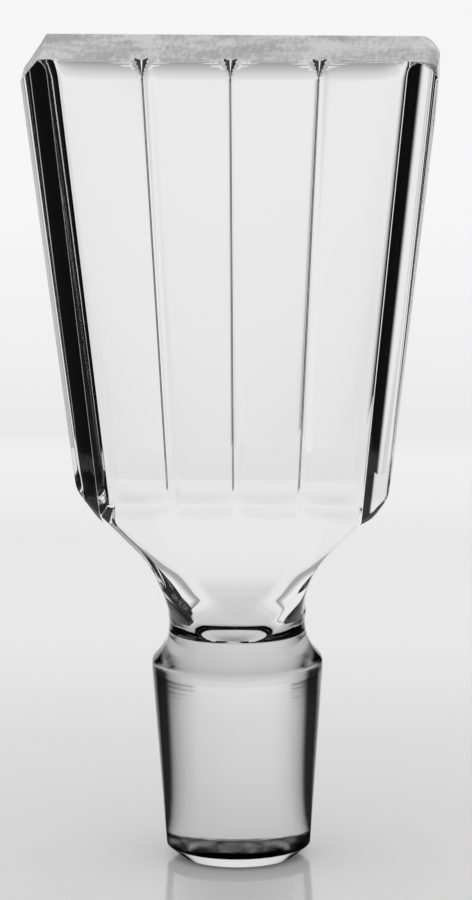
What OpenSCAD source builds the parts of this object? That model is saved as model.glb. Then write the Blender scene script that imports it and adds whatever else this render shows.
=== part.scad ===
// Solid glass decanter stopper: a fan-shaped slab head with hollow-cut panels,
// a round waist, and a ground taper plug that it stands on.
// The plug's axis is the Z axis, its flat end is at Z = 0, and the broad faces
// of the head look along -Y (front) and +Y (back).

/* [Plug] */
// Diameter of the ground plug at its shoulder
plug_d = 24.1; // [16:0.1:34]
// Height of the ground plug, from its flat end to its shoulder
plug_len = 27.3; // [18:0.1:40]
// Half angle of the ground taper, in degrees
plug_half_angle = 4.3; // [1:0.1:6]
// Height of the bevel round the flat end
foot_bevel_h = 2.1; // [0.5:0.1:3.5]
// Width of the bevel round the flat end
foot_bevel_w = 1.95; // [0.5:0.05:3.5]

/* [Waist] */
// Height of the plain band above the ground taper
collar_h = 0.7; // [0.3:0.1:3]
// Radius of the collar's rounded upper edge
collar_round = 1.45; // [0.6:0.05:2.5]
// Radius of the cove from the collar up to the waist
low_cove_r = 7; // [4:0.5:10]
// Radius of the cove from the waist up to the head, at the two edges of the neck
high_cove_r = 14.5; // [9:0.5:22]
// Half width at which the neck meets the underside of the head
neck_top_w = 17.5; // [15:0.5:22]
// Step from the turned waist out to the neck's two edges
neck_step = 0.25; // [0.1:0.05:1]
// Radius of the turned cove from the waist up to the neck's four corners
corner_cove_r = 4; // [2:0.25:6]
// Slope of the cone that takes the neck's four corners off, from the vertical, in degrees
corner_angle = 50; // [46:1:60]
// Rise of the head's underside from the horizontal, in degrees
underside_angle = 24; // [10:1:40]

/* [Head] */
// Overall height of the stopper
total_h = 117; // [95:1:150]
// Thickness of the head between its broad faces
head_t = 16; // [13:0.5:18]
// Width of the panelled field at the top
field_w = 50.05; // [40:0.25:60]
// Width of the bevel beside the panelled field at the top, left
bevel_w_left = 5.2; // [3:0.1:8]
// Width of the bevel beside the panelled field at the top, right
bevel_w_right = 4.2; // [3:0.1:8]
// Distance below the top at which all of the head's long edges would meet
fan_len = 239; // [170:1:400]
// Width of the ground-off top corner, left
corner_left_w = 3.4; // [1:0.1:6]
// Height of the ground-off top corner, left
corner_left_h = 4; // [1:0.1:6]
// Radius of the rounded top corner, right
corner_right_r = 3; // [1:0.1:6]
// Radius of the head's two lower corners
low_corner_r = 1.3; // [0.4:0.1:2]
// Height above the waist's narrowest ring at which the flat faces run out
flat_end_rise = 1.6; // [0.5:0.1:1.6]
// Radius of the cove that ends each flat face
flat_end_r = 3; // [2:0.1:5]

/* [Panels] */
// Number of panels on each broad face
panel_count = 4; // [2:1:7]
// Width of the rib left between two panels
rib_w = 0.3; // [0.1:0.05:0.8]
// Depth of each panel along its two ribs
panel_sink = 0.16; // [0.05:0.01:0.4]
// Depth of each panel's hollow, as a share of its half width
panel_hollow = 0.02; // [0.01:0.01:0.1]
// Radius of the wheel path that runs each panel out at its ends
run_out_r = 27; // [15:1:40]
// Lip left between the panels and the top face
lip_h = 0.25; // [0.15:0.05:1]
// Radius of the panels' upper corners, in front view
panel_corner_r = 1.5; // [0.6:0.1:3]
// Height above the top of the neck at which the panels run out, front
panel_foot_rise_front = 6; // [0.5:0.1:12]
// Height above the top of the neck at which the panels run out, back
panel_foot_rise_back = 0.8; // [0.5:0.1:12]

/* [Side bevels] */
// Slope of the bevels from the broad faces, in degrees
bevel_angle = 46; // [30:1:55]
// Depth of each bevel's hollow, as a share of its half width
bevel_hollow = 0.13; // [0.03:0.01:0.2]
// Radius of the arch that ends each bevel, beside the panels
arch_inner_r = 1.8; // [1:0.1:3]
// Radius of the arch that ends each bevel, beside the narrow side
arch_outer_r = 4.2; // [2:0.1:6]

/* [Hidden] */
$fn = 96;

// plug and waist, from the flat end up
plug_r = plug_d / 2;
plug_low_r = plug_r - (plug_len - foot_bevel_h) * tan(plug_half_angle);
foot_r = plug_low_r - foot_bevel_w;
collar_z = plug_len + collar_h;
waist_z = collar_z + (collar_round + low_cove_r) * sin(45);
waist_r = plug_r - (collar_round + low_cove_r) * (1 - cos(45));
neck_w = waist_r + neck_step;
cove_top_w = neck_w + high_cove_r * (1 - cos(45));
cove_top_z = waist_z + high_cove_r * sin(45);
under_z = cove_top_z + neck_top_w - cove_top_w;
corner_r = waist_r + corner_cove_r * (1 - cos(corner_angle));
corner_z = waist_z + corner_cove_r * sin(corner_angle);
disc_z = (cove_top_z + under_z) / 2;
flat_z = waist_z + flat_end_rise;

// head
half_t = head_t / 2;
reach_left = field_w / 2 + bevel_w_left;
reach_right = field_w / 2 + bevel_w_right;
fan_z = total_h - fan_len;
slope_left = reach_left / fan_len;
slope_right = reach_right / fan_len;
field_slope = field_w / 2 / fan_len;
reach_max = max(reach_left, reach_right);
under_slope = tan(underside_angle);
past = 5; // how far a cutter runs past what it cuts
lap = 0.002; // how far one outline runs into another where the two are tangent

// unit vector along v
function unit(v) = v / norm(v);
// point just inside a circle round c, at angle a, for an outline that leaves it at a tangent
function rim(c, r, a) = c + (r - lap) * [cos(a), sin(a)];
// direction from the fan point, for a sideways slope and a depth slope
function ray(side, depth = 0) = unit([side, depth, 1]);
// height at which a side of the given slope meets the head's underside
function side_foot_z(slope) =
    (under_z - neck_top_w * under_slope - slope * fan_z * under_slope) / (1 - slope * under_slope);

// half of the outline of plug, waist and corner cone, turned round the axis, with a disc that
// holds the head
module turned_outline() {
    collar_center = [plug_r - collar_round, collar_z];
    corner_center = [waist_r + corner_cove_r, waist_z];
    polygon([
        [0, 0], [foot_r, 0], [plug_low_r, foot_bevel_h], [plug_r, plug_len],
        [plug_r, collar_z], [0, collar_z]
    ]);
    intersection() {
        translate(collar_center) circle(r = collar_round + lap);
        translate([0, collar_z]) square([plug_r, 2 * collar_round]);
    }
    difference() {
        polygon([
            [0, collar_z], collar_center, rim(collar_center, collar_round, 45),
            rim(corner_center, corner_cove_r, 180 - corner_angle),
            [corner_r + (disc_z - corner_z) * tan(corner_angle), disc_z],
            [2 * reach_max, disc_z], [2 * reach_max, total_h], [0, total_h]
        ]);
        translate([waist_r + low_cove_r, waist_z]) cove(low_cove_r, -1);
        translate(corner_center) cove(corner_cove_r, 1);
    }
}

// half of a disc that cuts a cove, above its centre or, for way -1, below it
module cove(r, way) {
    intersection() {
        circle(r = r);
        translate([-r, (way - 1) / 2 * r]) square([2 * r, r]);
    }
}

// plug and waist up to the foot of the flat faces, with the coves that lead up to these
module plug_and_waist() {
    difference() {
        rotate_extrude()
            intersection() {
                turned_outline();
                square([plug_d, flat_z]);
            }
        for (back = [0, 1])
            mirror([0, back, 0])
                across_head()
                    translate([-half_t - flat_end_r, flat_z]) circle(r = flat_end_r);
    }
}

// centre of a round lower corner of the head, on a side of the given slope
function low_corner(slope) =
    let (
        foot_z = side_foot_z(slope),
        side_turn = atan(slope),
        back_off = low_corner_r * tan((90 - side_turn - underside_angle) / 2)
    )
    [slope * (foot_z - fan_z), foot_z] + back_off * [sin(side_turn), cos(side_turn)]
        + low_corner_r * [-cos(side_turn), sin(side_turn)];

// half of the outline of head and neck in front view, with its top corner given as points
module half_outline(slope, corner) {
    cove_center = [neck_w + high_cove_r, waist_z];
    low_center = low_corner(slope);
    difference() {
        polygon(concat(
            [[0, total_h], [0, flat_z]],
            [[cove_top_w, flat_z], rim(cove_center, high_cove_r, 135), [neck_top_w, under_z]],
            [rim(low_center, low_corner_r, underside_angle - 90)],
            [rim(low_center, low_corner_r, -atan(slope))],
            corner
        ));
        translate(cove_center) circle(r = high_cove_r);
    }
    translate(low_center) circle(r = low_corner_r);
}

// outline of head and neck in front view
module head_outline() {
    right_turn = atan(slope_right);
    right_inset = corner_right_r * tan((90 + right_turn) / 2);
    right_center = [reach_right - right_inset, total_h - corner_right_r];
    half_outline(slope_right, [
        rim(right_center, corner_right_r, -right_turn),
        [right_center[0], total_h]
    ]);
    translate(right_center) circle(r = corner_right_r);
    mirror([1, 0])
        half_outline(slope_left, [
            [slope_left * (fan_len - corner_left_h), total_h - corner_left_h],
            [reach_left - corner_left_w, total_h]
        ]);
}

// slab of head and neck, with the neck's four corners taken off near the waist
module head_and_neck() {
    intersection() {
        rotate_extrude() turned_outline();
        rotate([90, 0, 0])
            translate([0, 0, -half_t])
                linear_extrude(head_t) head_outline();
    }
}

// a side view, drawn in Y and Z, swept across the head
module across_head() {
    rotate([90, 0, 90])
        translate([0, 0, -2 * reach_max])
            linear_extrude(4 * reach_max) children();
}

// cone with its point at the fan point that cuts a hollow between two directions
module fan_hollow(from, to, outward, hollow) {
    middle = unit(from + to);
    half_angle = acos(from * to) / 2;
    lean = atan(tan(half_angle) * (1 - hollow * hollow) / (2 * hollow));
    axis = middle * cos(lean) + outward * sin(lean);
    spread = acos(axis * from);
    length = fan_len + 4 * past;
    translate([0, -half_t, fan_z])
        rotate([0, acos(axis[2]), atan2(axis[1], axis[0])])
            cylinder(h = length, r1 = 0, r2 = length * tan(spread));
}

// side view of the path of a panel's hollow, run out at both ends
module panel_path_profile(foot_z) {
    depth = panel_sink + panel_hollow * field_w / panel_count / 2;
    run = sqrt(2 * run_out_r * depth - depth * depth);
    low = foot_z + run;
    high = total_h - run;
    floor_y = depth - half_t;
    translate([floor_y - 2 * run_out_r, low]) square([2 * run_out_r, high - low]);
    for (z = [low, high])
        translate([floor_y - run_out_r, z]) circle(r = run_out_r);
}

// outline of one panel in front view, between two slopes from the fan point
module panel_outline(from, to, foot_z) {
    top = total_h - lip_h;
    // centre of a round upper corner: one radius in from a side and from the top
    function corner_x(slope, inward) =
        slope * (top - panel_corner_r - fan_z) + inward * panel_corner_r * sqrt(1 + slope * slope);
    left = [corner_x(from, 1), top - panel_corner_r];
    right = [corner_x(to, -1), top - panel_corner_r];
    polygon([
        [from * (foot_z - past - fan_z), foot_z - past],
        [to * (foot_z - past - fan_z), foot_z - past],
        rim(right, panel_corner_r, -atan(to)),
        [right[0], top],
        [left[0], top],
        rim(left, panel_corner_r, 180 - atan(from))
    ]);
    for (center = [left, right])
        translate(center) circle(r = panel_corner_r);
}

// all of the panels' hollows on the front, run out at the given height
module front_panels(foot_z) {
    pitch = 2 * field_slope / panel_count;
    rib = rib_w / fan_len;
    sink = panel_sink / fan_len;
    for (i = [0 : panel_count - 1]) {
        from = -field_slope + pitch * i + rib / 2;
        to = from + pitch - rib;
        intersection() {
            fan_hollow(ray(from, sink), ray(to, sink), [0, -1, 0], panel_hollow);
            across_head() panel_path_profile(foot_z);
            rotate([90, 0, 0])
                linear_extrude(plug_d) panel_outline(from, to, foot_z);
        }
    }
}

// hollow bevel along one upright front edge; side is 1 for the right, -1 for the left
module front_bevel(side, slope) {
    inner = ray(side * field_slope);
    outer = ray(side * slope, (slope - field_slope) * tan(bevel_angle));
    outward = side * unit(cross(outer, inner));
    top = total_h - lip_h - fan_z;
    intersection() {
        fan_hollow(inner, outer, outward, bevel_hollow);
        translate([0, -half_t, fan_z] + top / inner[2] * inner)
            rotate([0, acos(outward[2]), atan2(outward[1], outward[0])])
                translate([0, 0, -fan_len])
                    linear_extrude(2 * fan_len)
                        mirror([0, side < 0 ? 1 : 0, 0])
                            bevel_arch(top * norm(outer / outer[2] - inner / inner[2]));
    }
}

// face view of what a bevel's cutter reaches, with X running down the bevel from its arched top
module bevel_arch(face_w) {
    inner_center = [arch_inner_r, arch_inner_r];
    outer_center = [arch_outer_r, face_w - arch_outer_r];
    translate([arch_outer_r, -face_w]) square([2 * fan_len, 3 * face_w]);
    polygon([
        [arch_outer_r + lap, 0], inner_center + [0, -arch_inner_r],
        rim(inner_center, arch_inner_r, 180), rim(outer_center, arch_outer_r, 180),
        [arch_outer_r + lap, face_w - lap]
    ]);
    translate(inner_center) circle(r = arch_inner_r);
    translate(outer_center) circle(r = arch_outer_r);
}

// everything that is cut on the front, with the panels run out at the given height
module front_cuts(foot_z) {
    front_panels(foot_z);
    front_bevel(1, slope_right);
    front_bevel(-1, slope_left);
}

module stopper() {
    color("gainsboro")
        difference() {
            union() {
                plug_and_waist();
                head_and_neck();
            }
            front_cuts(under_z + panel_foot_rise_front);
            mirror([0, 1, 0]) front_cuts(under_z + panel_foot_rise_back);
        }
}

stopper();
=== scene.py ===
"""A clear cut-glass decanter stopper on a pale glossy table.

Sizes are in millimetres in the shape functions and in metres in Blender. Where a size is given
for -1 and 1, a side's size is that of the left and the right, and a face's that of the front and
the back. Azimuths are in degrees, 0 straight behind the stopper and positive towards +X, and
heights in the room are given as the z of a unit direction.
"""
import math

import bpy
import numpy as np
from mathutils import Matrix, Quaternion, Vector


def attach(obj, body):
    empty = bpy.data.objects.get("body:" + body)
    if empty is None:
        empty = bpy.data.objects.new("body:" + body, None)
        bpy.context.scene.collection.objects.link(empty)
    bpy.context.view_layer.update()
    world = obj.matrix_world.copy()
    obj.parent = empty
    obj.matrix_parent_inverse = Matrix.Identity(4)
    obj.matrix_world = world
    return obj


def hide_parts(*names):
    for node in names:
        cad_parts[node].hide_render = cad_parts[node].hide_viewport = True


MM = 0.001

# plug and waist
PLUG_R = 12.05
PLUG_LEN = 27.3
PLUG_TAPER = math.radians(4.3)
FOOT_BEVEL_H = 1.7
FOOT_BEVEL_W = 2.12
PLUG_LOW_R = PLUG_R - (PLUG_LEN - FOOT_BEVEL_H) * math.tan(PLUG_TAPER)
FOOT_R = PLUG_LOW_R - FOOT_BEVEL_W
COLLAR_ROUND = 1.45
COLLAR_Z = 28.0
LOW_COVE_R = 7.0
DIAGONAL = math.sqrt(0.5)
WAIST_Z = COLLAR_Z + (COLLAR_ROUND + LOW_COVE_R) * DIAGONAL
WAIST_R = PLUG_R - (COLLAR_ROUND + LOW_COVE_R) * (1 - DIAGONAL)
CORNER_COVE_R = 4.0
CORNER_ANGLE = math.radians(35)
CORNER_R = WAIST_R + CORNER_COVE_R * (1 - math.cos(CORNER_ANGLE))
CORNER_Z = WAIST_Z + CORNER_COVE_R * math.sin(CORNER_ANGLE)

# neck
HIGH_COVE_R = 14.4
NECK_W = 9.55
NECK_Z = WAIST_Z + 2.0
NECK_FLARE = 0.6  # how fast the outline widens below NECK_Z, where the waist bounds it
COVE_TOP_W = NECK_W + HIGH_COVE_R * (1 - DIAGONAL)
COVE_TOP_Z = NECK_Z + HIGH_COVE_R * DIAGONAL
NECK_TOP_W = 17.5
UNDER_Z = COVE_TOP_Z + NECK_TOP_W - COVE_TOP_W
FLAT_Z = WAIST_Z + 1.6
# the broad faces turn out at their lower ends with these radii, from these heights down
FLAT_END_R = {-1: 2.2, 1: 18.0}
FLAT_END_Z = {-1: FLAT_Z, 1: 40.0}
# the back's width is taken NECK_TILT higher up the outline, and that sets in softly
NECK_TILT, NECK_TILT_FROM, NECK_TILT_RUN = 2.6, WAIST_Z + 2, 5
# how softly the corner cones cut the neck: on the axes, and how much more on the diagonals
CORNER_BLEND = {-1: (0.5, 0.3), 1: (0.5, 2.6)}

# head
TOTAL_H = 117.0
HALF_T = 8.0
FIELD_W = {-1: 26.0, 1: 25.025}
BEVEL_W = {-1: 4.2, 1: 4.55}
FAN_LEN = 239.0
FAN_Z = TOTAL_H - FAN_LEN
UNDER_SLOPE = math.tan(math.radians(12))
UNDER_ROUNDING = 1.1
CHAMFER_W, CHAMFER_H = 3.4, 4.0
ROUND_R = 3.0
BEVEL_ANGLE = math.radians(46)
BEVEL_TAN = math.tan(BEVEL_ANGLE)
BEVEL_SIN, BEVEL_COS = math.sin(BEVEL_ANGLE), math.cos(BEVEL_ANGLE)
BEVEL_HOLLOW = 0.13
ARCH_INNER_R, ARCH_OUTER_R = 1.8, 4.2
ARCH_RUN, ARCH_START = 0.22, 0.3
LAND_W = {-1: 0.85, 1: 0.2}  # flat beside the bevel
# what the form is kept inside
BOX_X = (-29.706, 28.83)
BOX_Y = 12.046

# panels
BORDERS = np.array([-FIELD_W[-1], -12.51, 0.0, 12.51, FIELD_W[1]])
PANELS = len(BORDERS) - 1
RIB_W = 0.02
SINK = {-1: 0.16, 1: 0.17}
# widths of the soft steps down into a panel from the ridges, and from the bevels
FLANK = {-1: 0.11, 1: 0.9}
OUTER_FLANK = {-1: 3.0, 1: 0.55}
PANEL_HOLLOW = 0.02
RUN_OUT_R = 27.0
HEAD_DEPTH = 0.165  # how far the run-out at a panel's head rises
FOOT_EXTRA = 0.02  # how much more than the sink the run-out at its foot rises
# the notches at the top of the front's ridges, and how fast they narrow downwards
MITRE_W, MITRE_H, MITRE_DEPTH, MITRE_POWER = 2.3, 3.0, 1.3, 1.5
LIP_H = 0.04
PANEL_CORNER_R = 1.5
FOOT_Z = {-1: 53.7, 1: 48.5}

# mesh: upper ends of stretches of height, and in how many steps each is taken
STRETCHES = [
    (0.12, 3), (1.6, 5), (1.8, 5), (27.1, 14), (27.4, 4), (28.0, 4), (29.1, 8), (32.2, 16),
    (38.0, 34), (44.0, 14), (UNDER_Z, 10), (53.0, 26), (59.0, 10), (112.5, 9), (116.2, 22),
    (TOTAL_H, 14),
]
# the close points at both ends of a stretch of the outline, if it is at least FULL_LEN long
CLOSE_POINTS = np.array([0.0, 0.03, 0.07, 0.12, 0.19, 0.32, 0.5, 0.72, 0.96, 1.25, 1.6])
FULL_LEN = 5
SIDE_STEPS, BEVEL_STEPS, PANEL_STEPS = 4, 16, 8
BEVEL_SAMPLES = 260
NECK_BEVEL = 3.5  # the stretch that the bevel's points take up on the neck
SIDE_END = 0.8  # the least that is left for the side's points
SAMPLE = 0.02
PAD = 120 * SAMPLE  # how far the outline is carried on past its ends before it is rounded
ROUNDING, NECK_ROUNDING = 9, 12  # in samples
NECK_ROUNDING_Z, NECK_ROUNDING_RUN = 50.0, 2.5
SHARP_ANGLE = math.radians(32)
SAME_POINT, TINY, NEAR = 1e-9, 1e-6, 0.01
ON_FACE = 0.02  # points this close to a broad face belong to it
# material slots, and how far below the top face and how level the ground notches are
POLISHED, GROUND_TOP, GROUND_PLUG = 0, 1, 2
NOTCH_DEPTH, NOTCH_LEVEL = 5, 0.3


def smooth(value):
    """0 to 1 with soft ends, for value going from 0 to 1."""
    t = np.clip(value, 0, 1)
    return t * t * (3 - 2 * t)


def soft_min(a, b, width):
    """The lesser of a and b, rounded where they cross."""
    h = np.clip(0.5 + 0.5 * (b - a) / width, 0, 1)
    return b + (a - b) * h - width * h * (1 - h)


def turned_r(z):
    """Radius of the turned outline of plug, waist and corner cone."""
    if z <= FOOT_BEVEL_H:
        return FOOT_R + (PLUG_LOW_R - FOOT_R) * z / FOOT_BEVEL_H
    if z <= PLUG_LEN:
        up = (z - FOOT_BEVEL_H) / (PLUG_LEN - FOOT_BEVEL_H)
        return PLUG_LOW_R + (PLUG_R - PLUG_LOW_R) * up
    if z <= COLLAR_Z:
        return PLUG_R
    if z <= COLLAR_Z + COLLAR_ROUND * DIAGONAL:
        return PLUG_R - COLLAR_ROUND + math.sqrt(COLLAR_ROUND ** 2 - (z - COLLAR_Z) ** 2)
    if z <= WAIST_Z:
        return WAIST_R + LOW_COVE_R - math.sqrt(LOW_COVE_R ** 2 - (WAIST_Z - z) ** 2)
    if z <= CORNER_Z:
        return WAIST_R + CORNER_COVE_R - math.sqrt(CORNER_COVE_R ** 2 - (z - WAIST_Z) ** 2)
    return CORNER_R + (z - CORNER_Z) * math.tan(CORNER_ANGLE)


def face_y(z, face):
    """Distance of the front or the back from the axis, and beyond everything below its end."""
    below, radius = FLAT_END_Z[face] - z, FLAT_END_R[face]
    if below <= 0:
        return HALF_T
    if below < radius:
        return HALF_T + radius - math.sqrt(radius ** 2 - below ** 2)
    return 4 * PLUG_R


def reach(side):
    """Half width of the head at the top, on one side, with the corner left sharp."""
    return FIELD_W[side] + BEVEL_W[side]


def side_w(z, side):
    """Half width of the head at height z, on its long straight edge."""
    return reach(side) / FAN_LEN * (z - FAN_Z)


def outline_w(z, side):
    """Half width of the outline of head and neck in front view, on one side."""
    if z < NECK_Z:
        return NECK_W + NECK_FLARE * (NECK_Z - z)
    if z < COVE_TOP_Z:
        return NECK_W + HIGH_COVE_R - math.sqrt(HIGH_COVE_R ** 2 - (z - NECK_Z) ** 2)
    if z < UNDER_Z:
        return COVE_TOP_W + z - COVE_TOP_Z
    under = NECK_TOP_W + (z - UNDER_Z) / UNDER_SLOPE
    width = soft_min(under, side_w(z, side), UNDER_ROUNDING)
    down = TOTAL_H - z
    if side < 0 and down < CHAMFER_H:
        edge = side_w(TOTAL_H - CHAMFER_H, side)
        width = edge + (reach(side) - CHAMFER_W - edge) * (1 - down / CHAMFER_H)
    if side > 0:
        turn = math.atan(reach(side) / FAN_LEN)
        center_x = reach(side) - ROUND_R * math.tan((math.pi / 2 + turn) / 2)
        rise = ROUND_R - down
        if rise > -ROUND_R * math.sin(turn):
            width = center_x + math.sqrt(max(ROUND_R ** 2 - rise ** 2, 0))
    return float(width)


def arch_inside(down, across, face_w):
    """How far a point of a bevel's face lies inside the arch that ends its hollow."""
    inner = ARCH_INNER_R - across
    outer = across - (face_w - ARCH_OUTER_R)
    inside = np.where((inner > 0) & (down < ARCH_INNER_R),
                      ARCH_INNER_R - np.hypot(inner, ARCH_INNER_R - down), down)
    return np.where((outer > 0) & (down < ARCH_OUTER_R),
                    ARCH_OUTER_R - np.hypot(outer, ARCH_OUTER_R - down), inside)


def bevel_points(z, side):
    """The bevel's section at height z, from its inner edge out: distance from the axis, and y."""
    inner = FIELD_W[side] / FAN_LEN * (z - FAN_Z)
    outer = side_w(z, side)
    across = np.linspace(0, 1, BEVEL_SAMPLES)
    width = outer - inner
    half = width / BEVEL_COS / 2
    hollow = -BEVEL_HOLLOW * half * 4 * across * (1 - across)
    to_front = across * width * BEVEL_TAN / BEVEL_COS
    to_side = (1 - across) * width / BEVEL_SIN
    full = np.minimum(to_front, to_side)
    inside = arch_inside(TOTAL_H - LIP_H - z, across * 2 * half, 2 * half)
    out = full + (hollow - full) * smooth(inside / ARCH_RUN + ARCH_START)
    x = inner + across * width + out * BEVEL_SIN
    y = -HALF_T + across * width * BEVEL_TAN - out * BEVEL_COS
    return x, np.minimum(y, np.interp(outer - LAND_W[side], x, y))


def panel_depth(x, z, face):
    """Depth of the panels' hollows at the points x of the front or the back."""
    borders = BORDERS * (z - FAN_Z) / FAN_LEN
    index = np.clip(np.searchsorted(borders, x) - 1, 0, PANELS - 1)
    low, high = borders[index], borders[index + 1]
    from_middle = np.abs(x - (low + high) / 2)
    half = (high - low - RIB_W) / 2
    hollow = SINK[face] + PANEL_HOLLOW * half * (1 - (from_middle / half) ** 2)
    head_run = math.sqrt(2 * RUN_OUT_R * HEAD_DEPTH)
    foot_run = math.sqrt(2 * RUN_OUT_R * (SINK[face] + FOOT_EXTRA))
    past = max(FOOT_Z[face] + foot_run - z, z - TOTAL_H + head_run, 0)
    rise = past ** 2 / (2 * RUN_OUT_R)
    edge = half - from_middle
    outermost = ((index == 0) & (x < low + half)) | ((index == PANELS - 1) & (x > high - half))
    flank = np.where(outermost, OUTER_FLANK[face], FLANK[face])
    depth = np.maximum(hollow - rise, 0) * smooth(edge / flank)
    over = z - (TOTAL_H - LIP_H - PANEL_CORNER_R)
    if over > 0:
        corner = np.maximum(PANEL_CORNER_R - edge, 0)
        depth = depth * smooth((PANEL_CORNER_R - np.hypot(corner, over)) / FLANK[face])
    up = (z - TOTAL_H) / MITRE_H + 1
    if up > 0 and face < 0:
        across = np.where(outermost, 1, edge / (MITRE_W * up ** MITRE_POWER))
        notch = np.sin(math.pi * np.clip(across, 0, 1)) ** 2
        depth = np.maximum(depth, MITRE_DEPTH * up * notch)
    return depth


def spread(length, count):
    """Points along a stretch: close together at both of its ends, with even steps between."""
    close = CLOSE_POINTS * min(1, length / FULL_LEN)
    middle = np.linspace(close[-1], length - close[-1], count)
    return np.concatenate([close, middle[1:-1], length - close[::-1]])


def half_ring(z, face):
    """Points of the outline at height z, FLAT_Z or more, from the left side's middle over a broad
    face to the right side's. The back is given as if it were the front.
    """
    halves, knots = {}, {}
    for side in (-1, 1):
        limit = outline_w(z, side)
        x, y = bevel_points(z, side)
        x = np.minimum(x, limit)
        x = np.concatenate([[0.0], x, [x[-1]]])
        y = np.concatenate([[-HALF_T], y, [0.0]])
        keep = np.concatenate([[True], np.hypot(np.diff(x), np.diff(y)) > SAME_POINT])
        x, y = x[keep], y[keep]
        length = np.concatenate([[0], np.cumsum(np.hypot(np.diff(x), np.diff(y)))])
        field = FIELD_W[side] / FAN_LEN * (z - FAN_Z)
        inner = min(field, limit)
        # where the slanted part ends: the first point that has gone out to the limit
        out_at = length[np.argmax(x >= min(limit, x.max()) - TINY)]
        outer = max(out_at, inner + NECK_BEVEL)
        halves[side] = (x, y, length)
        knots[side] = (inner, min(outer, length[-1] - SIDE_END), length[-1])
    (lx, ly, ll), (rx, ry, rl) = halves[-1], halves[1]
    x = np.concatenate([-lx[::-1], rx[1:]])
    y = np.concatenate([ly[::-1], ry[1:]])
    along = np.concatenate([ll[-1] - ll[::-1], ll[-1] + rl[1:]])
    zero = ll[-1]
    # the outline at even steps, with its edges rounded by a short running mean
    grid = np.linspace(-PAD, along[-1] + PAD, int((along[-1] + 2 * PAD) / SAMPLE))
    gx = np.interp(grid, along, x)
    gy = np.interp(grid, along, y)
    gy = np.where(grid < 0, -grid, np.where(grid > along[-1], grid - along[-1], gy))
    on_neck = float(smooth((NECK_ROUNDING_Z - z) / NECK_ROUNDING_RUN))
    width = int(ROUNDING + (NECK_ROUNDING - ROUNDING) * on_neck)
    kernel = np.hanning(width + 2)[1:-1]
    kernel /= kernel.sum()
    gx = np.convolve(gx, kernel, "same")
    gy = np.convolve(gy, kernel, "same")
    left, right = knots[-1], knots[1]
    scale = np.where(BORDERS < 0, left[0] / FIELD_W[-1], right[0] / FIELD_W[1])
    stops = [zero - left[2], zero - left[1]]
    stops += list(zero + scale * BORDERS)
    stops += [zero + right[1], zero + right[2]]
    counts = [SIDE_STEPS, BEVEL_STEPS] + [PANEL_STEPS] * PANELS + [BEVEL_STEPS, SIDE_STEPS]
    at = [stops[0] + spread(stops[1] - stops[0], counts[0])]
    for start, stop, count in zip(stops[1:-1], stops[2:], counts[1:]):
        at.append(start + spread(stop - start, count)[1:])
    at = np.concatenate(at)
    px, py = np.interp(at, grid, gx), np.interp(at, grid, gy)
    py[0] = py[-1] = 0.0
    if z > FLAT_Z:
        flat = py < -HALF_T + ON_FACE
        py = np.where(flat, py + panel_depth(px, z, face), py)
    return px, py


def ring(z):
    """All points of the outline at height z: the front from left to right, then the back."""
    parts = []
    for face in (-1, 1):
        x, y = half_ring(max(z, FLAT_Z), face)
        size = np.hypot(x, y)
        if z < FLAT_END_Z[face]:
            depth = face_y(z, face) / np.maximum(np.abs(y) / size, TINY)
            width = outline_w(z, 1) / np.maximum(np.abs(x) / size, TINY)
            free = np.minimum(depth, width)
        else:
            free = size
        straight, slanted = CORNER_BLEND[face]
        diagonal = (2 * x * y / size ** 2) ** 2
        new = soft_min(free, turned_r(z), straight + slanted * diagonal)
        x, y = x * new / size, -face * y * new / size
        if WAIST_Z < z < UNDER_Z:
            # the neck's sides lean: the back is a little wider than the front
            lift = NECK_TILT * float(smooth((z - NECK_TILT_FROM) / NECK_TILT_RUN))
            at = np.minimum(z + lift * (HALF_T + y) / (2 * HALF_T), UNDER_Z - NEAR)
            for side in (-1, 1):
                wide = np.array([outline_w(height, side) for height in at])
                x = np.where(x * side > 0, x * wide / outline_w(z, side), x)
        parts.append((x, y))
    (fx, fy), (bx, by) = parts
    return np.concatenate([fx, bx[-2:0:-1]]), np.concatenate([fy, by[-2:0:-1]])


def levels():
    """Heights of the rings, close together where the form turns."""
    heights = [0.0]
    for high, count in STRETCHES:
        heights.extend(np.linspace(heights[-1], high, count + 1)[1:])
    return heights


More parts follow.
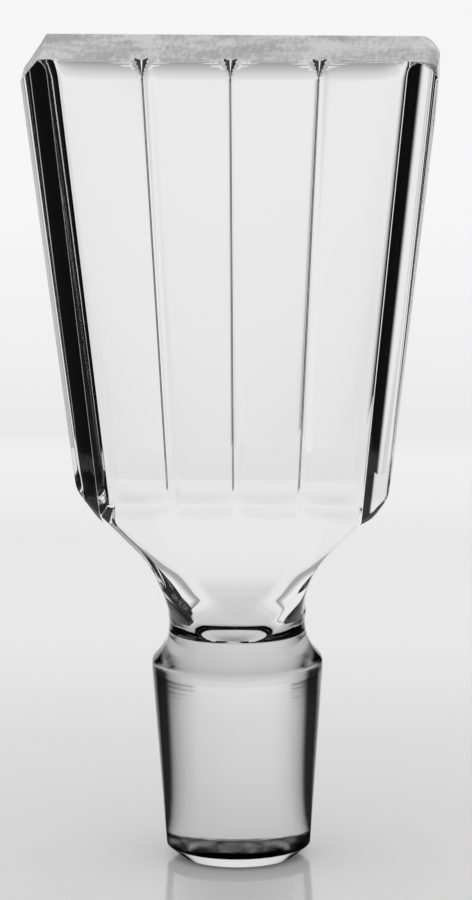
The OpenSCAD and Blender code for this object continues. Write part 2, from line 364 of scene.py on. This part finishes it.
def stopper_mesh():
    """The whole stopper as one closed loft of rings."""
    heights = levels()
    rings = [ring(z) for z in heights]
    count = len(rings[0][0])
    half = (count + 2) // 2
    verts = np.empty((len(heights), count, 3))
    for row, z, (x, y) in zip(verts, heights, rings):
        row[:, 0], row[:, 1], row[:, 2] = np.clip(x, *BOX_X), np.clip(y, -BOX_Y, BOX_Y), z
    faces = []
    for low in range(len(heights) - 1):
        a, b = low * count, (low + 1) * count
        for i in range(count):
            j = (i + 1) % count
            faces.append((a + i, a + j, b + j, b + i))
    # the two ends: strips from each point of the front to the same point of the back
    for base, flip in ((0, True), ((len(heights) - 1) * count, False)):
        for i in range(half - 1):
            front, front_next = base + i, base + i + 1
            back = base + (count - i) % count
            back_next = base + (count - i - 1) % count
            if i == 0:
                face = (front, front_next, back_next)
            elif i == half - 2:
                face = (front, front_next, back)
            else:
                face = (front, front_next, back_next, back)
            faces.append(tuple(reversed(face)) if flip else face)
    mesh = bpy.data.meshes.new("stopper_glass")
    mesh.from_pydata((verts.reshape(-1, 3) * MM).tolist(), [], faces)
    mesh.validate()
    slots = []
    for polygon in mesh.polygons:
        z = polygon.center.z / MM
        notch = z > TOTAL_H - NOTCH_DEPTH and polygon.normal.z > NOTCH_LEVEL
        if z > TOTAL_H - NEAR or notch:
            slots.append(GROUND_TOP)
        else:
            slots.append(GROUND_PLUG if NEAR < z < PLUG_LEN else POLISHED)
    mesh.polygons.foreach_set("material_index", slots)
    mesh.polygons.foreach_set("use_smooth", [True] * len(mesh.polygons))
    mesh.set_sharp_from_angle(angle=SHARP_ANGLE)
    return mesh


GLASS_IOR = 1.51


def new_tree(owner):
    """The emptied node tree of a material or a world."""
    owner.use_nodes = True
    tree = owner.node_tree
    tree.nodes.clear()
    return tree


def math_node(tree, operation, *values, clamp=False):
    """The result of a math node, with numbers or other nodes' results as its values."""
    node = tree.nodes.new("ShaderNodeMath")
    node.operation = operation
    node.use_clamp = clamp
    for socket, value in zip(node.inputs, values):
        if isinstance(value, (int, float)):
            socket.default_value = value
        else:
            tree.links.new(value, socket)
    return node.outputs[0]


def product(tree, first, *others):
    """The values multiplied together."""
    for other in others:
        first = math_node(tree, "MULTIPLY", first, other)
    return first


def smooth_step(tree, value, low, high, out_low=0.0, out_high=1.0):
    """From out_low at low to out_high at high, with soft ends."""
    node = tree.nodes.new("ShaderNodeMapRange")
    node.interpolation_type = "SMOOTHSTEP"
    tree.links.new(value, node.inputs["Value"])
    node.inputs["From Min"].default_value = low
    node.inputs["From Max"].default_value = high
    node.inputs["To Min"].default_value = out_low
    node.inputs["To Max"].default_value = out_high
    return node.outputs[0]


def ramp(tree, value, stops):
    """A grey level that follows value through the stops, given as pairs of value and level."""
    low, high = stops[0][0], stops[-1][0]
    node = tree.nodes.new("ShaderNodeValToRGB")
    along = math_node(tree, "MULTIPLY_ADD", value, 1 / (high - low), -low / (high - low))
    tree.links.new(along, node.inputs[0])
    elements = node.color_ramp.elements
    while len(elements) < len(stops):
        elements.new(0.5)
    for element, (at, level) in zip(elements, stops):
        element.position = (at - low) / (high - low)
        element.color = (level, level, level, 1)
    return node.outputs["Color"]


def split_xyz(tree, vector):
    node = tree.nodes.new("ShaderNodeSeparateXYZ")
    tree.links.new(vector, node.inputs[0])
    return node.outputs


def azimuth_of(tree, x, y):
    return math_node(tree, "MULTIPLY", math_node(tree, "ARCTAN2", x, y), 180 / math.pi)


def seen_by_glass(tree, path):
    """1 for a ray that has gone through glass or off it, and otherwise 0."""
    return math_node(tree, "MAXIMUM", path.outputs["Is Transmission Ray"],
                     path.outputs["Is Glossy Ray"])


def mix_shaders(tree, factor, first, second):
    node = tree.nodes.new("ShaderNodeMixShader")
    for socket, value in zip(node.inputs, (factor, first, second)):
        tree.links.new(value, socket)
    return node.outputs[0]


def noise(tree, coords, scale, detail, rough, stretch=None, turn=0.0):
    """Noise, if stretch is given with each axis's scale changed after a turn about Z."""
    if stretch:
        mapping = tree.nodes.new("ShaderNodeMapping")
        mapping.inputs["Rotation"].default_value = (0, 0, turn)
        mapping.inputs["Scale"].default_value = stretch
        tree.links.new(coords, mapping.inputs[0])
        coords = mapping.outputs[0]
    node = tree.nodes.new("ShaderNodeTexNoise")
    node.inputs["Scale"].default_value = scale
    node.inputs["Detail"].default_value = detail
    node.inputs["Roughness"].default_value = rough
    tree.links.new(coords, node.inputs["Vector"])
    return node.outputs["Fac"]


def bump(tree, height, distance, strength):
    node = tree.nodes.new("ShaderNodeBump")
    node.inputs["Strength"].default_value = strength
    node.inputs["Distance"].default_value = distance
    tree.links.new(height, node.inputs["Height"])
    return node.outputs[0]


def glass(name, tint):
    """A glass material and what its detail is built from."""
    mat = bpy.data.materials.new(name)
    tree = new_tree(mat)
    out = tree.nodes.new("ShaderNodeOutputMaterial")
    bsdf = tree.nodes.new("ShaderNodeBsdfPrincipled")
    bsdf.inputs["Base Color"].default_value = (tint, tint, tint, 1)
    bsdf.inputs["IOR"].default_value = GLASS_IOR
    bsdf.inputs["Transmission Weight"].default_value = 1.0
    tree.links.new(bsdf.outputs[0], out.inputs["Surface"])
    coords = tree.nodes.new("ShaderNodeTexCoord").outputs["Object"]
    return mat, tree, bsdf, coords


def polished_material():
    """Fire-polished glass: hardly any waviness, a few faint smears."""
    mat, tree, bsdf, coords = glass("polished_glass", tint=0.97)
    smears = noise(tree, coords, scale=90, detail=4, rough=0.6)
    rough = smooth_step(tree, smears, 0.62, 0.8, out_low=0.0, out_high=0.03)
    tree.links.new(rough, bsdf.inputs["Roughness"])
    waves = noise(tree, coords, scale=60, detail=1, rough=0.4)
    tree.links.new(bump(tree, waves, distance=0.00002, strength=0.15), bsdf.inputs["Normal"])
    return mat


def ground_top_material():
    """The ground top face: matte, with swirls left by the grinding and some clearer patches."""
    mat, tree, bsdf, coords = glass("ground_top_glass", tint=0.93)
    bsdf.inputs["Transmission Weight"].default_value = 0.5
    swirls = noise(tree, coords, scale=350, detail=5, rough=0.7, stretch=(1, 1.4, 1))
    patches = noise(tree, coords, scale=110, detail=2, rough=0.5)
    scratches = noise(tree, coords, scale=300, detail=3, rough=0.6, stretch=(6, 1, 1),
                      turn=math.radians(40))
    mixed = math_node(tree, "MULTIPLY", patches, 0.4)
    mixed = math_node(tree, "MULTIPLY_ADD", swirls, 0.35, mixed)
    mixed = math_node(tree, "MULTIPLY_ADD", scratches, 0.25, mixed)
    colour = smooth_step(tree, mixed, 0.41, 0.59, out_low=0.45, out_high=1.0)
    tree.links.new(colour, bsdf.inputs["Base Color"])
    rough = smooth_step(tree, swirls, 0.35, 0.7, out_low=0.28, out_high=0.55)
    tree.links.new(rough, bsdf.inputs["Roughness"])
    grain = noise(tree, coords, scale=2200, detail=3, rough=0.7)
    tree.links.new(bump(tree, grain, distance=0.00006, strength=0.6), bsdf.inputs["Normal"])
    return mat


def ground_plug_material():
    """The plug: finely ground round and round, so that it stays clear, with faint level lines."""
    mat, tree, bsdf, coords = glass("ground_plug_glass", tint=0.97)
    lines = noise(tree, coords, scale=40, detail=4, rough=0.7, stretch=(0.6, 0.6, 80))
    bsdf.inputs["Roughness"].default_value = 0.03
    tree.links.new(bump(tree, lines, distance=0.00003, strength=0.3), bsdf.inputs["Normal"])
    return mat


# how bright the room looks through the glass, by azimuth: low down, and from LOW_END to HIGH_START
# on as it is above
BACK_LIGHT = 0.925
ROOM_LOW = [
    (-180, 0.01), (-31, 0.01), (-29.6, 0.86), (-14, BACK_LIGHT), (1, BACK_LIGHT), (4, 0.88),
    (7, 0.62), (10.5, 0.01), (180, 0.01),
]
ROOM_HIGH = [
    (-180, 0.01), (-31, 0.01), (-29.6, 0.86), (-14, BACK_LIGHT), (8, 0.90), (15, 0.86),
    (17, 0.01), (180, 0.01),
]
LOW_END, HIGH_START = -0.16, -0.12
# how much of that is seen at each height; reflections see all of it above the horizon
ROOM_HEIGHT = [
    (-0.26, 0.89), (-0.2431, 0.90), (-0.2412, 0.955), (-0.2363, 0.97), (-0.2315, 1.0),
    (-0.2258, 1.0), (-0.222, 0.93), (-0.215, 0.85), (-0.205, 0.78), (-0.192, 0.60),
    (-0.170, 0.45), (-0.13, 0.4), (-0.085, 0.8), (-0.06, 1.0), (0.20, 1.0), (0.225, 0.02),
    (0.355, 0.02), (0.38, 1.0), (0.55, 1.0), (0.6, 0.02), (1.0, 0.02),
]
HORIZON = 0.05
# openings as bright as BACK_LIGHT: azimuth from and to, height from and to, and their soft edges
OPENINGS = [
    (-110, -62, -0.17, 0.03), (112, 154, -0.31, -0.20), (-78, -20, -0.52, -0.37),
    (-65, 60, 0.35, 0.55), (-32, -19, -0.22, -0.16),
]
OPENING_EDGE = (4, 0.02)
# the wall behind the table by height, as it looks past the glass
WALL = [(-0.2424, 0.825), (-0.2390, 0.865), (-0.2350, 0.90), (-0.2315, 0.925)]

# the table, in metres
TABLE_HALF_W = 0.28
TABLE_FRONT, TABLE_BACK = -0.26, 0.241
TABLE_ROUGHNESS = 0.12
# where it fades out, to the sides and to the front
FADE_X, FADE_Y = (0.19, 0.27), (-0.2, -0.25)
# its colour from front to back, with painted light in it: darker at the front, lighter towards the
# back
TABLE_PAINTED_FALLOFF = [
    (TABLE_FRONT, 0.68), (0.0, 0.70), (0.06, 0.742), (0.089, 0.80), (0.118, 0.855),
    (0.147, 0.857), (0.176, 0.834), (0.203, 0.90), (0.23, 0.925), (TABLE_BACK, 0.885),
]
# how it looks through the glass from front to back, with painted light in it: darker at the front,
# lighter towards the back
TABLE_THROUGH_PAINTED = [
    (TABLE_FRONT, 0.75), (0.0, 0.75), (0.06, 0.76), (0.12, 0.80), (0.16, 0.90), (0.18, 0.94),
    (0.205, 0.94), (0.216, 0.875), (0.23, 0.88), (TABLE_BACK, 0.90),
]
# painted reflection: how bright the table's gloss makes it look, from straight down (0) to a flat
# glance (1)
TABLE_PAINTED_SHEEN = [
    (0.0, 0.02), (0.15, 0.05), (0.25, 0.55), (0.40, 0.85), (0.50, 0.93), (0.64, 0.95),
    (0.735, 1.0), (1.0, 1.0),
]
# painted reflection of the room's dark sides: near the stopper, where the plug looks, by azimuth
# to either side of TABLE_MIDDLE, and how much darker it gets with each degree to the right
TABLE_MIDDLE = -2.5
TABLE_PAINTED_SIDES = [
    (0, 1.0), (15, 0.975), (25, 0.87), (31, 0.70), (36.5, 0.53), (39.5, 0.35), (42, 0.11),
    (45, 0.026), (183, 0.02),
]
TABLE_TILT = 0.0022
# farther out, where the head looks, by azimuth, painted dark to the sides in the same way
TABLE_FAR_PAINTED_SIDES = [
    (-180, 0.01), (-31, 0.01), (-29, 1.0), (15, 1.0), (18, 0.01), (180, 0.01),
]
FAR_FROM, FAR_TO = 0.150, 0.175
# painted shadow: dark under the foot
FOOT_SHADE = 0.03
FOOT_FROM, FOOT_TO = 0.010, 0.0135
# painted light: clear of the foot, bright in front of the stopper, and to all sides for rays that
# come steeply
OPEN_LEVEL = 0.87
OPEN_FROM, OPEN_TO = 0.030, 0.045
STEEP_FROM, STEEP_TO = 0.61, 0.575
BEFORE_FROM, BEFORE_TO = 110, 125


def make_world():
    """A room that is plain, but for rays that have met glass bright and dark in places."""
    world = bpy.data.worlds.new("studio")
    bpy.context.scene.world = world
    tree = new_tree(world)
    out = tree.nodes.new("ShaderNodeOutputWorld")
    coords = tree.nodes.new("ShaderNodeTexCoord")
    path = tree.nodes.new("ShaderNodeLightPath")
    x, y, z = split_xyz(tree, coords.outputs["Generated"])
    azimuth = azimuth_of(tree, x, y)
    is_high = smooth_step(tree, z, LOW_END, HIGH_START)
    low = product(tree, ramp(tree, azimuth, ROOM_LOW), math_node(tree, "SUBTRACT", 1.0, is_high))
    room = math_node(tree, "MULTIPLY_ADD", ramp(tree, azimuth, ROOM_HIGH), is_high, low)
    # a ray that was refracted counts as glossy too
    mirrored = math_node(tree, "SUBTRACT", path.outputs["Is Glossy Ray"],
                         path.outputs["Is Transmission Ray"], clamp=True)
    mirrored = product(tree, mirrored, smooth_step(tree, z, -HORIZON, HORIZON))
    by_height = math_node(tree, "MAXIMUM", mirrored, ramp(tree, z, ROOM_HEIGHT))
    room = product(tree, room, by_height)
    soft_turn, soft_height = OPENING_EDGE
    for left, right, bottom, top in OPENINGS:
        inside = product(tree, smooth_step(tree, azimuth, left, left + soft_turn),
                         smooth_step(tree, azimuth, right, right - soft_turn),
                         smooth_step(tree, z, bottom, bottom + soft_height),
                         smooth_step(tree, z, top, top - soft_height), BACK_LIGHT)
        room = math_node(tree, "MAXIMUM", room, inside)
    seen = tree.nodes.new("ShaderNodeBackground")
    tree.links.new(room, seen.inputs["Color"])
    plain = tree.nodes.new("ShaderNodeBackground")
    tree.links.new(ramp(tree, z, WALL), plain.inputs["Color"])
    mix = mix_shaders(tree, seen_by_glass(tree, path), plain.outputs[0], seen.outputs[0])
    tree.links.new(mix, out.inputs["Surface"])


def table_material():
    """Pale and glossy with painted light from front to back, and for rays that have met glass a
    diffuse painted bright and dark in places with light, shade and reflection.
    """
    mat = bpy.data.materials.new("table")
    tree = new_tree(mat)
    out = tree.nodes.new("ShaderNodeOutputMaterial")
    coords = tree.nodes.new("ShaderNodeTexCoord")
    path = tree.nodes.new("ShaderNodeLightPath")
    x, y, _ = split_xyz(tree, coords.outputs["Object"])
    top = tree.nodes.new("ShaderNodeBsdfPrincipled")
    # painted light: the table's base colour is darker at the front and lighter towards the back
    tree.links.new(ramp(tree, y, TABLE_PAINTED_FALLOFF), top.inputs["Base Color"])
    top.inputs["Roughness"].default_value = TABLE_ROUGHNESS
    # painted reflection of the room's dark sides: the table darkens by azimuth, near the stopper
    # and farther out
    azimuth = azimuth_of(tree, x, y)
    aside = math_node(tree, "ABSOLUTE", math_node(tree, "SUBTRACT", azimuth, TABLE_MIDDLE))
    squares = math_node(tree, "ADD", product(tree, x, x), product(tree, y, y))
    distance = math_node(tree, "SQRT", squares)
    near = product(tree, ramp(tree, aside, TABLE_PAINTED_SIDES),
                   math_node(tree, "MULTIPLY_ADD", azimuth, -TABLE_TILT, 1.0))
    far = ramp(tree, azimuth, TABLE_FAR_PAINTED_SIDES)
    is_far = smooth_step(tree, distance, FAR_FROM, FAR_TO)
    near = product(tree, near, math_node(tree, "SUBTRACT", 1.0, is_far))
    sides = math_node(tree, "ADD", near, product(tree, far, is_far))
    # painted shadow under the foot
    painted_foot_shadow = smooth_step(tree, distance, FOOT_FROM, FOOT_TO, out_low=FOOT_SHADE)
    # painted reflection: the table looks brighter at a glance and darker seen steeply, by the
    # Layer Weight's facing
    weight = tree.nodes.new("ShaderNodeLayerWeight")
    weight.inputs["Blend"].default_value = 0.5
    facing = weight.outputs["Facing"]
    # painted light: bright for steep rays and in front of the stopper, clear of the foot
    steep = smooth_step(tree, facing, STEEP_FROM, STEEP_TO)
    before = smooth_step(tree, aside, BEFORE_FROM, BEFORE_TO)
    clear_of_foot = smooth_step(tree, distance, OPEN_FROM, OPEN_TO, out_high=OPEN_LEVEL)
    painted_open_light = product(tree, math_node(tree, "MAXIMUM", steep, before), clear_of_foot)
    sides = math_node(tree, "MAXIMUM", sides, painted_open_light)
    # the painted level that glass sees: painted sides, painted foot shadow, painted falloff and
    # painted reflection
    level = product(tree, sides, painted_foot_shadow, ramp(tree, y, TABLE_THROUGH_PAINTED),
                    ramp(tree, facing, TABLE_PAINTED_SHEEN))
    glance = tree.nodes.new("ShaderNodeBsdfDiffuse")
    tree.links.new(level, glance.inputs["Color"])
    seen = mix_shaders(tree, seen_by_glass(tree, path), top.outputs[0], glance.outputs[0])
    clear = tree.nodes.new("ShaderNodeBsdfTransparent")
    fade = math_node(tree, "MAXIMUM", smooth_step(tree, math_node(tree, "ABSOLUTE", x), *FADE_X),
                     smooth_step(tree, y, *FADE_Y))
    mix = mix_shaders(tree, fade, seen, clear.outputs[0])
    tree.links.new(mix, out.inputs["Surface"])
    return mat


def make_floor():
    mesh = bpy.data.meshes.new("table")
    corners = [(-TABLE_HALF_W, TABLE_FRONT, 0), (TABLE_HALF_W, TABLE_FRONT, 0),
               (TABLE_HALF_W, TABLE_BACK, 0), (-TABLE_HALF_W, TABLE_BACK, 0)]
    mesh.from_pydata(corners, [], [(0, 1, 2, 3)])
    floor = bpy.data.objects.new("table", mesh)
    bpy.context.scene.collection.objects.link(floor)
    floor.data.materials.append(table_material())


# the camera: a long lens, so far off that the whole picture's height is seen at this scale
LENS, SENSOR = 800, 36
PICTURE_H, MM_PER_PIXEL = 900, 0.141
CAMERA_YAW, CAMERA_RISE, CAMERA_ROLL = math.radians(3.3), math.radians(14.1), math.radians(0.38)
TARGET_Z = 58.8
CLIP = (0.1, 20)


def make_camera():
    data = bpy.data.cameras.new("camera")
    cam = bpy.data.objects.new("camera", data)
    bpy.context.scene.collection.objects.link(cam)
    bpy.context.scene.camera = cam
    data.lens = LENS
    data.sensor_width = SENSOR
    distance = PICTURE_H * MM_PER_PIXEL * MM * data.lens / data.sensor_width
    level = math.cos(CAMERA_RISE)
    back = Vector((math.sin(CAMERA_YAW) * level, -math.cos(CAMERA_YAW) * level,
                   math.sin(CAMERA_RISE)))
    cam.location = Vector((0, 0, TARGET_Z * MM)) + back * distance
    cam.rotation_mode = "QUATERNION"
    look = (-back).to_track_quat("-Z", "Y")
    cam.rotation_quaternion = look @ Quaternion((0, 0, 1), -CAMERA_ROLL)
    data.clip_start, data.clip_end = CLIP


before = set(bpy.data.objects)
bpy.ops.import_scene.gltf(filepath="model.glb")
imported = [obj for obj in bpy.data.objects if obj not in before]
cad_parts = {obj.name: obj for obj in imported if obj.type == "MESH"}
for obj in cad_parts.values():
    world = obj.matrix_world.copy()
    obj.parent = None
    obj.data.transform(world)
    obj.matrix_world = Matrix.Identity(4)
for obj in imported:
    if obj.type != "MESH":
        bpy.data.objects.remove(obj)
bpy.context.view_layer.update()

make_camera()
make_world()
make_floor()
stopper = bpy.data.objects.new("stopper_glass", stopper_mesh())
bpy.context.scene.collection.objects.link(stopper)
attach(stopper, "root")
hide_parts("stopper")
for material in (polished_material(), ground_top_material(), ground_plug_material()):
    stopper.data.materials.append(material)
bpy.context.scene.view_settings.view_transform = "Standard"
